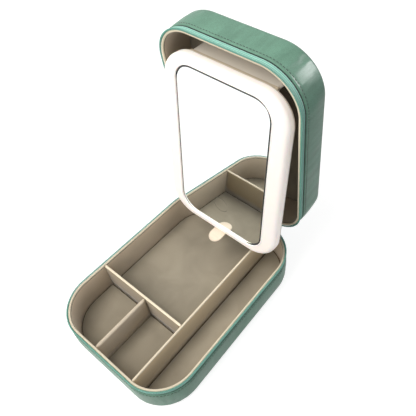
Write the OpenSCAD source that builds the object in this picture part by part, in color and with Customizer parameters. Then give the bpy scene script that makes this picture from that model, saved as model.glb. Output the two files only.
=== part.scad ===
// Soft-sided vanity box, shown open, with a lit mirror hung in its lid.
// The origin is the centre of the underside. X runs across, Y runs towards the hinge and Z is up.

/* [Case] */
// Width of the case, across the hinge
case_w = 164; // [158:1:180]
// Length of the case, from its front wall to its hinge wall
case_l = 225.6; // [220:0.1:240]
// Outer radius of the upright corners
case_r = 42.7; // [38:0.1:46]
// Height of the base, from the table to its rim
base_h = 43; // [40:1:60]
// Depth of the lid, from its rim to its back
lid_d = 40; // [40:1:50]
// Rounding between the base's walls and its underside
base_edge_r = 7; // [5:0.5:10]
// Rounding between the lid's walls and its back
lid_edge_r = 6; // [5:0.5:9]
// Thickness of the leather skin with its board
skin_t = 1.3; // [1:0.1:1.8]
// Gap between a piece and the piece it is fitted into
fit_gap = 0.1; // [0.05:0.01:0.2]
// Thickness of the formed lining's wall
liner_t = 2.3; // [1.8:0.1:2.8]
// Thickness of the formed lining's floor
liner_floor_t = 1.2; // [0.8:0.1:2]
// Rounding inside the lining, between wall and floor
liner_fillet_r = 1.2; // [1:0.1:2]

/* [Pads and dividers] */
// Thickness of the padded sheets on the base's floor and the lid's back
pad_t = 2; // [1.9:0.1:3]
// Rounding of the padded sheets' edges
pad_edge_r = 1.8; // [0.5:0.1:1.8]
// Thickness of the two fixed dividers
divider_t = 2.4; // [1.6:0.1:4]
// How far the fixed dividers stay below the rim
divider_drop = 1.5; // [1.5:0.1:10]
// Right face of the long divider, from the middle
long_divider_x = 41.2; // [30:0.1:60]
// Front face of the cross divider, from the middle
cross_divider_y = -43.3; // [-60:0.1:-20]
// Thickness of the loose padded divider
short_divider_t = 5.2; // [4:0.1:8]
// Middle of the loose divider, from the middle
short_divider_x = -14.1; // [-20:0.1:10]
// How far the loose divider stays below the rim
short_divider_drop = 3.3; // [3:0.1:12]
// Gap round the loose divider, so that it can be moved
loose_gap = 0.3; // [0.2:0.05:0.6]

/* [Zip] */
// Height of the zip band, from the skin's edge to the rim
zip_band = 7.2; // [6:0.1:10]
// Thickness of the zip tape
tape_t = 0.7; // [0.5:0.1:0.8]
// How far the tape lies inside the skin's outer face
tape_inset = 0.55; // [0.5:0.05:0.6]
// Radius of the zip coil
coil_r = 1; // [0.7:0.05:1]
// Gap between the two coils when the case is closed
coil_gap = 0.1; // [0.1:0.05:0.4]
// Length of the zip on the hinge wall, past each corner
zip_stub = 1; // [0.5:0.1:2]
// Length of zip that the slider waits on, past the left corner
slider_stub = 4; // [3:0.5:5]
// Length of the slider, along the zip
slider_l = 8; // [6:0.5:9]
// Height of the slider
slider_h = 9; // [8:0.5:10]
// How far the slider stands out of the skin
slider_out = 1.6; // [1.2:0.1:2.5]
// Running gap between the slider and the coil
slider_gap = 0.1; // [0.05:0.01:0.2]
// Radius of the pin that carries the pull
pull_pin_r = 0.6; // [0.5:0.05:0.8]
// Running gap between the pull and its pin
pin_gap = 0.06; // [0.03:0.01:0.1]
// Length of the pull
pull_l = 21; // [14:0.5:24]
// Width of the pull
pull_w = 6; // [4:0.5:8]
// Thickness of the pull
pull_t = 1.2; // [1:0.1:1.6]

/* [Hinge] */
// Angle that the lid stands open
open_angle = 85.42; // [80:0.01:88]
// Distance of the fold's axis from the hinge wall
hinge_out = 6.3; // [6:0.1:8]
// Height of the fold's axis above the base's rim
hinge_up = 12.16; // [12:0.01:14]
// Gap between the two rims when the case is closed
rim_gap = 2; // [2:0.1:4]
// Gap between the leather spine and the zip pull
spine_gap = 4.8; // [3:0.1:10]
// Thickness of each leaf of the spine
leaf_t = 1.2; // [0.8:0.1:1.6]
// Radius of the rolled fold
fold_r = 1.7; // [1.4:0.1:2]
// Running gap in the fold and in the hanger's folds
fold_gap = 0.08; // [0.04:0.01:0.1]
// Height of the spine's patch on each wall
patch_h = 18; // [12:1:20]
// Height of the patch's lower edge on the base, and of its upper edge below the lid's back
patch_z = 14; // [12:1:15]

/* [Mirror] */
// Gap between the mirror's frame and the lid's lining, at its ends
mirror_end_gap = 3.7; // [3.7:0.1:8]
// Gap between the mirror's frame and the lid's lining, at its sides
mirror_side_gap = 3.8; // [3.5:0.1:8]
// Outer radius of the frame's corners
mirror_r = 33; // [28:0.5:38]
// Thickness of the frame behind the glass's front face
mirror_t = 11; // [11:0.1:12]
// How far the frame's face stands in front of the glass
face_rise = 1.5; // [1:0.1:1.5]
// Rounding of the frame's front edge
face_edge_r = 5; // [3:0.5:6]
// Width of the lit band beside the glass
side_band = 17.3; // [15:0.1:20]
// Width of the lit band above and below the glass
end_band = 9.6; // [9:0.1:14]
// Radius of the glass's corners
glass_r = 21; // [18:0.5:26]
// Thickness of the glass
glass_t = 2.5; // [2:0.1:3]
// Gap round the glass
glass_gap = 0.3; // [0.2:0.05:0.5]
// Width of the ledge behind the glass
glass_ledge = 3; // [2:0.5:4]
// Radius of the bead round the glass
bead_r = 1; // [0.8:0.1:1.2]
// Thickness of the frame's walls
frame_wall = 3; // [2.6:0.1:3.2]
// Height of the back cover
cover_h = 3; // [3:0.1:4]
// Thickness of the back cover's walls
cover_wall = 2; // [1.5:0.1:2.4]
// Thickness of the back cover's plate
cover_t = 1.4; // [1.2:0.1:1.6]
// Rounding of the back cover's edge
cover_edge_r = 2; // [1:0.1:2.4]
// Angle that the mirror leans out of the lid
mirror_tilt = 11.02; // [9:0.01:12]
// Distance of the mirror's middle from the lid's middle, towards the hinge
mirror_y = 14.6; // [12:0.1:16]
// Distance of the glass's middle in front of the lid's rim
mirror_out = 22.3; // [20:0.1:24]

/* [Light and power] */
// Thickness of the circuit boards
board_t = 1; // [0.8:0.1:1.2]
// Width and length of a light-emitting chip
chip_w = 2; // [1.5:0.1:2.4]
// Height of a light-emitting chip
chip_h = 1.2; // [0.8:0.1:1.6]
// Distance between two chips
chip_pitch = 14; // [10:0.5:20]
// Size of the battery cell: across, along and through
cell_size = [62, 38, 4.6];
// Size of the control board: across and along
control_size = [40, 24];
// Width of the charging socket
usb_w = 9; // [8.9:0.1:9.2]
// Height of the charging socket
usb_h = 3.2; // [3.1:0.1:3.3]
// Depth of the charging socket
usb_l = 7.3; // [6.5:0.1:7.4]
// Distance of the charging socket from the mirror's middle, towards its lower end
usb_y = 58; // [40:1:60]
// Radius of the touch sensor film
touch_r = 9; // [6:0.5:10]
// Thickness of the touch sensor film
touch_t = 0.3; // [0.2:0.05:0.5]
// Distance of the touch sensor from the mirror's middle, towards its lower end
touch_y = 61; // [50:1:75]

/* [Hanger and tab] */
// Width of the hanger strap
hanger_w = 100; // [60:1:106]
// Middle of the hanger strap, from the middle
hanger_x = 2; // [-2:0.5:4]
// Thickness of the hanger strap
hanger_t = 1; // [0.8:0.1:1.2]
// Radius of the strap's two sewn-in rods
rod_r = 1; // [0.9:0.05:1.1]
// Wall of the rails that hold the rods
rail_wall = 0.92; // [0.8:0.01:1]
// Angle that the hanger folds through when the lid is closed
hanger_fold = 82.7; // [80:0.1:86]
// Distance of the lid rail from the lining's far wall
lid_rail_in = 28; // [26:0.1:30]
// Distance of the mirror rail from the frame's upper edge
mirror_rail_in = 3.5; // [3:0.1:4.5]
// Width of the pull tab
tab_w = 16.5; // [12:0.5:20]
// Thickness of the pull tab
tab_t = 1.6; // [1.2:0.1:1.8]
// Length of the pull tab in front of the frame
tab_l = 15; // [11:0.5:16]
// Depth of the pull tab in the frame
tab_root = 4; // [3:0.5:4.5]

/* [Hidden] */
$fn = 64;
// Overrun of a cut past the face that it opens
over = 1;
// Angle that stays free beside a leaf in its slot
slot_spare = 3;

// Half width and half length of the case
hw = case_w / 2;
hl = case_l / 2;
// The lining lies inside the skin, and its inner face is one wall further in
liner_in = skin_t + fit_gap;
inner_in = liner_in + liner_t;
inner_hw = hw - inner_in;
inner_hl = hl - inner_in;
inner_r = case_r - inner_in;
// Height of the lining's floor, and of the padded sheet that lies on it
floor_z = skin_t + fit_gap + liner_floor_t;
pad_top = floor_z + fit_gap + pad_t;
// The padded sheets end where the lining's rounding has nearly met its floor
pad_in = liner_fillet_r * 4 / 5;
// Ends of the straight run of the hinge wall
back_x = hw - case_r;

// Zip, measured outward from the skin's outer face and up from the rim
coil_u = coil_r + fit_gap / 2 - liner_in;
coil_z = (rim_gap - coil_gap) / 2 - coil_r;
tape_u = -tape_inset - tape_t;
slider_x = slider_l / 2 + zip_stub * 3 / 2 - back_x;
slider_low = -(slider_h - rim_gap / 2) / 2;
slider_in = liner_in - loose_gap;
slider_r = slider_l * 5 / 16;
pull_pin_u = slider_out + pull_pin_r + pin_gap + pull_t / 2;
pull_pin_z = slider_low + slider_h * 3 / 4;
lug_t = pull_w / 6;
spine_w = 2 * (-slider_x - pull_w / 2 - spine_gap);

// Fold between base and lid
hinge_y = hl + hinge_out;
hinge_z = base_h + hinge_up;
lid_hinge_z = hinge_up - rim_gap;

// Mirror, in its own frame: its middle, Y towards its lower end and Z towards the lid's back
mirror_hw = inner_hw - mirror_side_gap;
mirror_hl = inner_hl - mirror_end_gap;
face_z = -face_rise;
frame_back = mirror_t - cover_h;
glass_hw = mirror_hw - side_band;
glass_hl = mirror_hl - end_band;
window_hw = glass_hw + glass_gap;
window_hl = glass_hl + glass_gap;
window_r = glass_r + glass_gap;
plate_z = mirror_t - cover_t;
// The light channel runs round the wall that carries the glass
channel_in_hw = window_hw + frame_wall * 5 / 6;
channel_in_hl = window_hl + frame_wall * 5 / 6;
channel_in_r = window_r + frame_wall * 5 / 6;
channel_z = face_z + frame_wall;
board_edge = board_t / 3;
board_w = mirror_hl - frame_wall - channel_in_hl - 2 * board_edge;
tab_y = mirror_hl - (frame_wall + tab_t) / 2;

// Rods of the hanger, as [y, z]: one in the lid's frame, one in the mirror's
rail_r = rod_r + fold_gap + rail_wall;
lid_back_z = lid_d - floor_z - fit_gap - pad_t;
lid_rod = [lid_rail_in - inner_hl, lid_back_z - rail_r - fit_gap];
mirror_rod = [mirror_rail_in - mirror_hl, mirror_t + rail_r + fit_gap];
mirror_rod_in_lid = in_lid(mirror_rod);
strap_run = mirror_rod_in_lid - lid_rod;
strap_angle = atan2(strap_run[1], strap_run[0]);

// Turns a point of the mirror, as [y, z], into the lid's frame
function in_lid(p) = [mirror_y + p[0] * cos(mirror_tilt) + p[1] * sin(mirror_tilt),
    p[1] * cos(mirror_tilt) - p[0] * sin(mirror_tilt) - mirror_out];

// Sweeps a section round the case's outline. The section's X points outward from the outline and
// its Y points up. The run along the hinge wall is made in the stretches that are given.
module around(hx, hy, r, back_runs) {
    runs = is_undef(back_runs) ? [[r - hx, hx - r]] : back_runs;
    for (i = [0 : 3])
        translate([(i == 0 || i == 3 ? 1 : -1) * (hx - r), (i < 2 ? 1 : -1) * (hy - r), 0])
            rotate([0, 0, i * 90]) rotate_extrude(angle = 90) translate([r, 0]) children();
    for (side = [1, -1])
        translate([side * (hx - r), 0, 0]) rotate([90, 0, side > 0 ? 0 : 180])
            translate([0, 0, r - hy]) linear_extrude(height = 2 * (hy - r)) translate([r, 0]) children();
    translate([0, r - hy, 0]) rotate([90, 0, -90]) translate([0, 0, r - hx])
        linear_extrude(height = 2 * (hx - r)) translate([r, 0]) children();
    for (run = runs)
        translate([run[0], hy - r, 0]) rotate([90, 0, 90])
            linear_extrude(height = run[1] - run[0]) translate([r, 0]) children();
}

// Section of a block of width r, with its lower outer edge rounded
module edge_section(r, h, edge_r) {
    translate([-r, edge_r]) square([r, h - edge_r]);
    translate([-r, 0]) square([r - edge_r, edge_r]);
    intersection() {
        translate([-edge_r, edge_r]) circle(r = edge_r);
        translate([-edge_r, 0]) square([edge_r, edge_r]);
    }
}

// Middle of a sheet or block. It reaches a little into its rounded border, which stays off the axis.
function core_of(r) = r / 20;
module middle_block(hx, hy, r, h) {
    half = [hx, hy] + [1, 1] * (2 * core_of(r) - r);
    translate([-half[0], -half[1], 0]) cube([2 * half[0], 2 * half[1], h]);
}

// Flat sheet with the case's rounded outline
module sheet(hx, hy, r, t) {
    around(hx, hy, r) translate([core_of(r) - r, 0]) square([r - core_of(r), t]);
    middle_block(hx, hy, r, t);
}

// Block with the case's rounded outline and a rounded lower edge
module block(hx, hy, r, h, edge_r) {
    around(hx, hy, r) intersection() {
        edge_section(r, h, edge_r);
        translate([core_of(r) - r, -over]) square([r, h + 2 * over]);
    }
    middle_block(hx, hy, r, h);
}

// Open tray with rounded outer and inner lower edges. A rolled rim ends its wall in a half round.
module tray(hx, hy, r, h, wall, floor_t, edge_r, fillet_r, rolled = false) {
    wall_h = rolled ? h - wall / 2 : h;
    ring_w = edge_r + wall;
    around(hx, hy, r) {
        intersection() {
            difference() {
                edge_section(r, wall_h, edge_r);
                translate([-wall, floor_t]) edge_section(r - wall + over, wall_h, fillet_r);
            }
            translate([-ring_w, -over]) square([ring_w + over, wall_h + 2 * over]);
        }
        if (rolled)
            translate([-wall / 2, wall_h]) intersection() {
                circle(r = wall / 2);
                translate([-wall, 0]) square([2 * wall, wall]);
            }
    }
    linear_extrude(height = floor_t)
        rounded_rect(2 * (hx - ring_w), 2 * (hy - ring_w), r - ring_w);
}

// Extrudes a section across the case: its X becomes Y and its Y becomes Z
module across(w, middle = 0) {
    translate([middle - w / 2, 0, 0]) rotate([90, 0, 90]) linear_extrude(height = w) children();
}

// Rounded rectangle about the origin
module rounded_rect(w, h, r) {
    square([w - 2 * r, h], center = true);
    square([w, h - 2 * r], center = true);
    for (x = [-1, 1], y = [-1, 1])
        translate([x * (w / 2 - r), y * (h / 2 - r)]) circle(r = r);
}

// Side lines of a bent leaf that follows a path
function unit(v) = v / norm(v);
function left_of(a, b) = let (d = unit(b - a)) [-d[1], d[0]];
function side_line(path, d) = [for (i = [0 : len(path) - 1])
    let (j = max(i, 1), k = min(i, len(path) - 2),
        before = left_of(path[j - 1], path[j]), after = left_of(path[k], path[k + 1]))
    path[i] + d * (before + after) / (1 + before * after)];
module leaf(path, t) {
    back = side_line(path, t / 2);
    polygon(concat(side_line(path, -t / 2), [for (i = [len(back) - 1 : -1 : 0]) back[i]]));
}

// Fan between two angles, to open a sleeve
module fan(from, to, reach) {
    step = (to - from) / 4;
    polygon(concat([[0, 0]], [for (i = [0 : 4]) reach * [cos(from + i * step), sin(from + i * step)]]));
}

// Angle by which a slot is wider than the leaf that swings in it, at the radius r
function slot_margin(t, r) = asin(t / 2 / r) + slot_spare;

// Section of a rail that holds a rod and stands on a face below it. The strap swings in its slot
// from one angle to the other.
module rail_section(from, to) {
    spare = slot_margin(hanger_t, rod_r + fold_gap);
    difference() {
        union() {
            circle(r = rail_r);
            translate([-rail_r - fit_gap, -rail_r - fit_gap])
                square([2 * (rail_r + fit_gap), rail_r + fit_gap]);
        }
        circle(r = rod_r + fold_gap);
        fan(from - spare, to + spare, 3 * rail_r);
    }
}

// Places what is modelled in the lid's frame: its rim at zero, Z into the lid, closed on the base
module in_open_lid() {
    translate([0, hinge_y, hinge_z]) rotate([-open_angle, 0, 0])
        translate([0, -hinge_y, -lid_hinge_z]) children();
}

// Places what is modelled in the mirror's frame
module in_open_mirror() {
    in_open_lid() translate([0, mirror_y, -mirror_out]) rotate([-mirror_tilt, 0, 0]) children();
}

// Turns a piece that is modelled from its back, rim up, into the lid's frame
module back_down(h) {
    translate([0, 0, h]) mirror([0, 0, 1]) children();
}

// Zip tape and coil of one half, with the rim at zero and the skin below it
module tape_section() {
    translate([tape_u, -zip_band]) square([tape_t, zip_band + coil_z - coil_r]);
}
module coil_section() {
    translate([coil_u, coil_z]) circle(r = coil_r);
}

module base_skin() {
    color("#7c9f8c") tray(hw, hl, case_r, base_h - zip_band, skin_t, skin_t, base_edge_r,
        base_edge_r - liner_in);
}

module base_liner() {
    color("#b3a389") translate([0, 0, liner_in])
        tray(hw - liner_in, hl - liner_in, case_r - liner_in, base_h - liner_in, liner_t,
            liner_floor_t, base_edge_r - liner_in, liner_fillet_r, rolled = true);
}

module floor_pad() {
    color("#9c9078") translate([0, 0, pad_top]) mirror([0, 0, 1])
        block(inner_hw - pad_in, inner_hl - pad_in, inner_r - pad_in, pad_t, pad_edge_r);
}

// Room inside the lining, above the floor's pad, that the dividers stand in
module divider_room(h) {
    translate([0, 0, pad_top]) sheet(inner_hw, inner_hl, inner_r, h);
}

module long_divider() {
    color("#efe2c8") intersection() {
        translate([long_divider_x - divider_t, -hl, pad_top])
            cube([divider_t, case_l, base_h - divider_drop - pad_top]);
        divider_room(base_h);
    }
}

module cross_divider() {
    color("#efe2c8") translate([-inner_hw, cross_divider_y, pad_top])
        cube([inner_hw + long_divider_x - divider_t, divider_t, base_h - divider_drop - pad_top]);
}

module short_divider() {
    front = -inner_hl + loose_gap;
    low = pad_top + loose_gap;
    round_z = base_h - short_divider_drop - short_divider_t / 2;
    color("#d9ccb0") translate([short_divider_x, front, 0]) rotate([-90, 0, 0])
        mirror([0, 1, 0]) linear_extrude(height = cross_divider_y - loose_gap - front) {
            translate([-short_divider_t / 2, low]) square([short_divider_t, round_z - low]);
            intersection() {
                translate([0, round_z]) circle(r = short_divider_t / 2);
                translate([-short_divider_t, round_z]) square(2 * short_divider_t);
            }
        }
}

module base_zip_tape() {
    color("#86bfb2") translate([0, 0, base_h]) around(hw, hl, case_r,
        [[-back_x, slider_stub - back_x], [back_x - zip_stub, back_x]]) tape_section();
}

module base_zip_coil() {
    color("#6fb8a8") translate([0, 0, base_h]) around(hw, hl, case_r,
        [[-back_x, slider_stub - back_x], [back_x - zip_stub, back_x]]) coil_section();
}

// Grooves of the slider for the tape and both coils, as a section across the zip
module slider_grooves() {
    groove_r = coil_r + slider_gap;
    for (z = [coil_z, rim_gap - coil_z])
        translate([coil_u, z]) circle(r = groove_r);
    translate([-slider_in - over, coil_z]) square([slider_in + over + coil_u, rim_gap - 2 * coil_z]);
    translate([-slider_in - over, slider_low - over])
        square([slider_in + over + tape_u + tape_t + slider_gap, coil_z - slider_low + over]);
}

module zip_slider() {
    color("#c8cbc9") translate([0, hl, base_h]) {
        difference() {
            translate([slider_x, slider_out, slider_low + slider_h / 2]) rotate([90, 0, 0])
                linear_extrude(height = slider_out + slider_in)
                    rounded_rect(slider_l, slider_h, slider_r);
            across(2 * slider_l, slider_x) slider_grooves();
        }
        for (side = [-1, 1])
            translate([slider_x + side * (pull_w / 4 + lug_t / 2 + pin_gap) - lug_t / 2, 0, 0])
                rotate([90, 0, 90]) linear_extrude(height = lug_t) {
                    translate([slider_out, pull_pin_z - 2 * pull_pin_r])
                        square([pull_pin_u - slider_out, 4 * pull_pin_r]);
                    translate([pull_pin_u, pull_pin_z]) intersection() {
                        circle(r = 2 * pull_pin_r);
                        translate([0, -2 * pull_pin_r]) square(4 * pull_pin_r);
                    }
                }
        across(pull_w / 2 + 2 * lug_t + 2 * pin_gap, slider_x)
            translate([pull_pin_u, pull_pin_z]) circle(r = pull_pin_r);
    }
}

// The pull hangs from its pin down the hinge wall
module zip_pull() {
    eye_w = pull_w / 2;
    color("#c8cbc9") translate([slider_x, hl + pull_pin_u, base_h + pull_pin_z]) {
        rotate([90, 0, 90]) translate([0, 0, -eye_w / 2]) linear_extrude(height = eye_w)
            difference() {
                circle(r = pull_pin_r * 2);
                circle(r = pull_pin_r + pin_gap);
            }
        translate([0, pull_t / 2, 0]) rotate([90, 0, 0]) linear_extrude(height = pull_t)
            difference() {
                union() {
                    translate([-eye_w / 2, -pull_l / 3])
                        square([eye_w, pull_l / 3 - pull_pin_r * 3 / 2]);
                    translate([0, -pull_l * 2 / 3]) rounded_rect(pull_w, pull_l * 2 / 3, pull_w / 3);
                }
                translate([0, -pull_l * 3 / 4]) rounded_rect(pull_w / 3, pull_l / 3, pull_w / 7);
            }
    }
}

module base_spine() {
    wall_y = hl + leaf_t / 2;
    path = [[wall_y, patch_z], [wall_y, patch_z + patch_h], [hinge_y, hinge_z]];
    color("#6f8f7f") across(spine_w) {
        leaf(path, leaf_t);
        translate([hinge_y, hinge_z]) circle(r = fold_r);
    }
}

module lid_skin() {
    color("#7c9f8c") in_open_lid() back_down(lid_d)
        tray(hw, hl, case_r, lid_d - zip_band, skin_t, skin_t, lid_edge_r, lid_edge_r - liner_in);
}

module lid_liner() {
    color("#b3a389") in_open_lid() back_down(lid_d) translate([0, 0, liner_in])
        tray(hw - liner_in, hl - liner_in, case_r - liner_in, lid_d - liner_in, liner_t,
            liner_floor_t, lid_edge_r - liner_in, liner_fillet_r, rolled = true);
}

module lid_back_pad() {
    color("#a89b82") in_open_lid() translate([0, 0, lid_back_z])
        block(inner_hw - pad_in, inner_hl - pad_in, inner_r - pad_in, pad_t, pad_edge_r);
}

module lid_zip_tape() {
    color("#86bfb2") in_open_lid() mirror([0, 0, 1]) around(hw, hl, case_r,
        [[-back_x, zip_stub - back_x], [back_x - zip_stub, back_x]]) tape_section();
}

module lid_zip_coil() {
    color("#6fb8a8") in_open_lid() mirror([0, 0, 1]) around(hw, hl, case_r,
        [[-back_x, zip_stub - back_x], [back_x - zip_stub, back_x]]) coil_section();
}

// The lid's half of the spine ends in a sleeve that is rolled round the base's fold
module lid_spine() {
    wall_y = hl + leaf_t / 2;
    sleeve_in = fold_r + fold_gap;
    upper = lid_d - lid_edge_r - leaf_t;
    lower = upper - patch_h * 3 / 4;
    strap_dir = atan2(patch_z + patch_h - hinge_z, wall_y - hinge_y);
    spare = slot_margin(leaf_t, sleeve_in);
    color("#6f8f7f") in_open_lid() across(spine_w) difference() {
        union() {
            leaf([[wall_y, upper], [wall_y, lower], [hinge_y, lid_hinge_z]], leaf_t);
            translate([hinge_y, lid_hinge_z]) circle(r = sleeve_in + leaf_t);
        }
        translate([hinge_y, lid_hinge_z]) circle(r = sleeve_in);
        translate([hinge_y, lid_hinge_z])
            fan(strap_dir - spare, strap_dir + open_angle + spare, 3 * sleeve_in);
    }
}

module lid_hanger_rail() {
    color("#e9dcc3") in_open_lid() across(hanger_w, hanger_x)
        translate(lid_rod) rotate(180) rail_section(strap_angle + 180 - hanger_fold, strap_angle + 180);
}

module hanger_strap() {
    color("#f2e6d0") in_open_lid() across(hanger_w, hanger_x) translate(lid_rod) rotate(strap_angle) {
        translate([0, -hanger_t / 2]) square([norm(strap_run), hanger_t]);
        circle(r = rod_r);
        translate([norm(strap_run), 0]) circle(r = rod_r);
    }
}

module light_frame() {
    color("#fbf7f2") in_open_mirror() {
        difference() {
            translate([0, 0, face_z])
                block(mirror_hw, mirror_hl, mirror_r, frame_back - face_z, face_edge_r);
            translate([0, 0, face_z - over])
                sheet(window_hw, window_hl, window_r, glass_t - face_z + over);
            translate([0, 0, glass_t - over])
                sheet(glass_hw - glass_ledge, glass_hl - glass_ledge, glass_r - glass_ledge,
                    mirror_t);
            difference() {
                translate([0, 0, channel_z]) sheet(mirror_hw - frame_wall, mirror_hl - frame_wall,
                    mirror_r - frame_wall, mirror_t);
                translate([0, 0, channel_z - over])
                    sheet(channel_in_hw, channel_in_hl, channel_in_r, 2 * mirror_t);
            }
            usb_slot();
            translate([0, 0, fit_gap]) tab_plate(tab_t + 2 * fit_gap, tab_w + 2 * fit_gap);
        }
        around(window_hw + bead_r, window_hl + bead_r, window_r + bead_r)
            translate([-bead_r * 3 / 10, -bead_r - fit_gap / 2]) circle(r = bead_r);
    }
}

// Slot for the charging socket in the left side, across the joint of frame and back cover
module usb_slot() {
    translate([-mirror_hw - over, usb_y - usb_w / 2 - fit_gap, plate_z - usb_h - fit_gap])
        cube([usb_l + over + 2 * fit_gap, usb_w + 2 * fit_gap, usb_h + fit_gap]);
}

module mirror_glass() {
    color("#cfd8dc") in_open_mirror() sheet(glass_hw, glass_hl, glass_r, glass_t);
}

module back_cover() {
    color("#f1ebe3") in_open_mirror() difference() {
        back_down(mirror_t) tray(mirror_hw, mirror_hl, mirror_r, cover_h, cover_wall, cover_t,
            cover_edge_r, cover_wall / 3);
        usb_slot();
    }
}

module led_board() {
    grow = board_edge + board_w;
    color("#e8ede6") in_open_mirror() translate([0, 0, plate_z - board_t])
        around(channel_in_hw + grow, channel_in_hl + grow, channel_in_r + grow)
            translate([-board_w, 0]) square([board_w, board_t]);
}

// One row of chips, spaced along Y about its middle
module chip_row(length) {
    count = floor(length / chip_pitch);
    for (i = [0 : count])
        translate([0, (i - count / 2) * chip_pitch, 0])
            translate([-chip_w / 2, -chip_w / 2, -chip_h]) cube([chip_w, chip_w, chip_h]);
}

module led_chips() {
    side_x = channel_in_hw + board_edge + board_w / 2;
    end_y = channel_in_hl + board_edge + board_w / 2;
    color("#ffe9a8") in_open_mirror() translate([0, 0, plate_z - board_t]) {
        for (side = [-1, 1]) {
            translate([side * side_x, 0, 0]) chip_row(2 * (glass_hl - glass_r));
            translate([0, side * end_y, 0]) rotate([0, 0, 90]) chip_row(2 * (glass_hw - glass_r));
        }
    }
}

module battery_cell() {
    color("#9fa6ab") in_open_mirror()
        translate([-cell_size[0] / 2, -cell_size[1], plate_z - cell_size[2]]) cube(cell_size);
}

module control_board() {
    left = fit_gap + glass_ledge - glass_hw;
    chip = control_size / 4;
    color("#3f7a52") in_open_mirror() {
        translate([left, usb_y - control_size[1] / 2, plate_z - board_t])
            cube([control_size[0], control_size[1], board_t]);
        translate([left + chip[0], usb_y - chip[1] / 2, plate_z - board_t - chip_h])
            cube([chip[0], chip[1], chip_h]);
    }
}

module usb_socket() {
    shell_t = usb_h / 10;
    color("#b9bcc0") in_open_mirror()
        translate([-mirror_hw + fit_gap, usb_y, plate_z - usb_h / 2]) difference() {
            rotate([90, 0, 90]) linear_extrude(height = usb_l)
                rounded_rect(usb_w, usb_h, usb_h * 5 / 12);
            translate([-over, 0, 0]) rotate([90, 0, 90]) linear_extrude(height = usb_l)
                rounded_rect(usb_w - 2 * shell_t, usb_h - 2 * shell_t, usb_h / 3);
        }
}

module touch_film() {
    color("#c9a24a") in_open_mirror() translate([0, touch_y, glass_t])
        cylinder(r = touch_r, h = touch_t);
}

module mirror_hanger_rail() {
    color("#e9dcc3") in_open_mirror() across(hanger_w, hanger_x)
        translate(mirror_rod)
            rail_section(strap_angle + 180 - hanger_fold, strap_angle + 180 + mirror_tilt);
}

// Half-round plate that stands forward at the frame's lower edge
module tab_plate(t, w) {
    straight = tab_l + face_rise + tab_root - w / 2;
    translate([0, tab_y + t / 2, tab_root]) rotate([90, 0, 0]) linear_extrude(height = t) {
        translate([-w / 2, -straight]) square([w, straight]);
        translate([0, -straight]) intersection() {
            circle(r = w / 2);
            translate([-w, -w]) square([2 * w, w]);
        }
    }
}

module pull_tab() {
    color("#f3e3cf") in_open_mirror() tab_plate(tab_t, tab_w);
}

base_skin();
base_liner();
floor_pad();
long_divider();
cross_divider();
short_divider();
base_zip_tape();
base_zip_coil();
zip_slider();
zip_pull();
base_spine();
lid_skin();
lid_liner();
lid_back_pad();
lid_zip_tape();
lid_zip_coil();
lid_spine();
lid_hanger_rail();
hanger_strap();
light_frame();
mirror_glass();
back_cover();
led_board();
led_chips();
battery_cell();
control_board();
usb_socket();
touch_film();
mirror_hanger_rail();
pull_tab();
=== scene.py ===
"""Vanity box with a lit mirror in its lid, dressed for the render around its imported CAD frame.

Every length is in metres. The box stands with its underside at z = 0, its hinge wall towards +Y.
"""
import math
import random

import bmesh
import bpy
from bpy.props import FloatProperty, FloatVectorProperty, IntProperty, PointerProperty
from mathutils import Matrix, Vector, noise


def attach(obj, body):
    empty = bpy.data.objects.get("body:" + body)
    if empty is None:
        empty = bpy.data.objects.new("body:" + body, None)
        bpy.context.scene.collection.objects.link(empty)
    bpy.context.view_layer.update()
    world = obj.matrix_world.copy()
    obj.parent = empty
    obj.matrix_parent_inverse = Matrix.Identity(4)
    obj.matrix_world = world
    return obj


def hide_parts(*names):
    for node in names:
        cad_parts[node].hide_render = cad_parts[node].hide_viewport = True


bl_info = {
    "name": "Vanity box with lit mirror",
    "version": (1, 0, 0),
    "blender": (4, 5, 0),
    "location": "View3D > Sidebar > Vanity box",
    "description": "Builds the cloth, leather, zip and lit mirror of a soft-sided vanity box",
    "category": "Add Mesh",
}

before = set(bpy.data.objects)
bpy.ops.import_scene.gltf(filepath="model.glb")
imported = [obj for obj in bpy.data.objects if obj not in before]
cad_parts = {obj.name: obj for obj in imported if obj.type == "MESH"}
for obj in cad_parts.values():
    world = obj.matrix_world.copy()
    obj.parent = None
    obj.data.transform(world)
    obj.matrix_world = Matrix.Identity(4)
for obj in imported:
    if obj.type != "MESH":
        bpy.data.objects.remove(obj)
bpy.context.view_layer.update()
MM = 0.001
TURN = 2 * math.pi
ALMOST_NONE = 1e-6
UP = Vector((0, 0, 1))

# Sizes that the part's source has too: the case's outline, its heights and its walls
HALF_W, HALF_L, CORNER = 82 * MM, 112.8 * MM, 42.7 * MM
BASE_H, LID_D, ZIP_BAND = 43 * MM, 40 * MM, 7.2 * MM
BASE_EDGE, LID_EDGE = 7 * MM, 6 * MM
SKIN, LINING_AT, WALL_AT = 1.3 * MM, 1.4 * MM, 3.7 * MM
INNER_W, INNER_L = HALF_W - WALL_AT, HALF_L - WALL_AT
# The floor of either tray, the top of its pad, and how far the pad stays off the wall
FLOOR, PAD_TOP, PAD_IN = 2.6 * MM, 4.7 * MM, 0.96 * MM
# The fixed dividers' right and front faces and thickness, and the loose divider's middle and thickness
LONG_X, CROSS_Y, BOARD = 41.2 * MM, -43.3 * MM, 2.4 * MM
SOFT_X, SOFT_T = -14.1 * MM, 5.2 * MM
# How far the fixed and the loose dividers stay below the rim, and the gap round the loose one
DIVIDER_DROP, SOFT_DROP, LOOSE_GAP = 1.5 * MM, 3.3 * MM, 0.3 * MM
# The fold between base and lid: its place in the base's frame, and its height in the lid's
HINGE_Y, HINGE_Z, LID_HINGE_Z = 119.1 * MM, 55.16 * MM, 10.16 * MM
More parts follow.
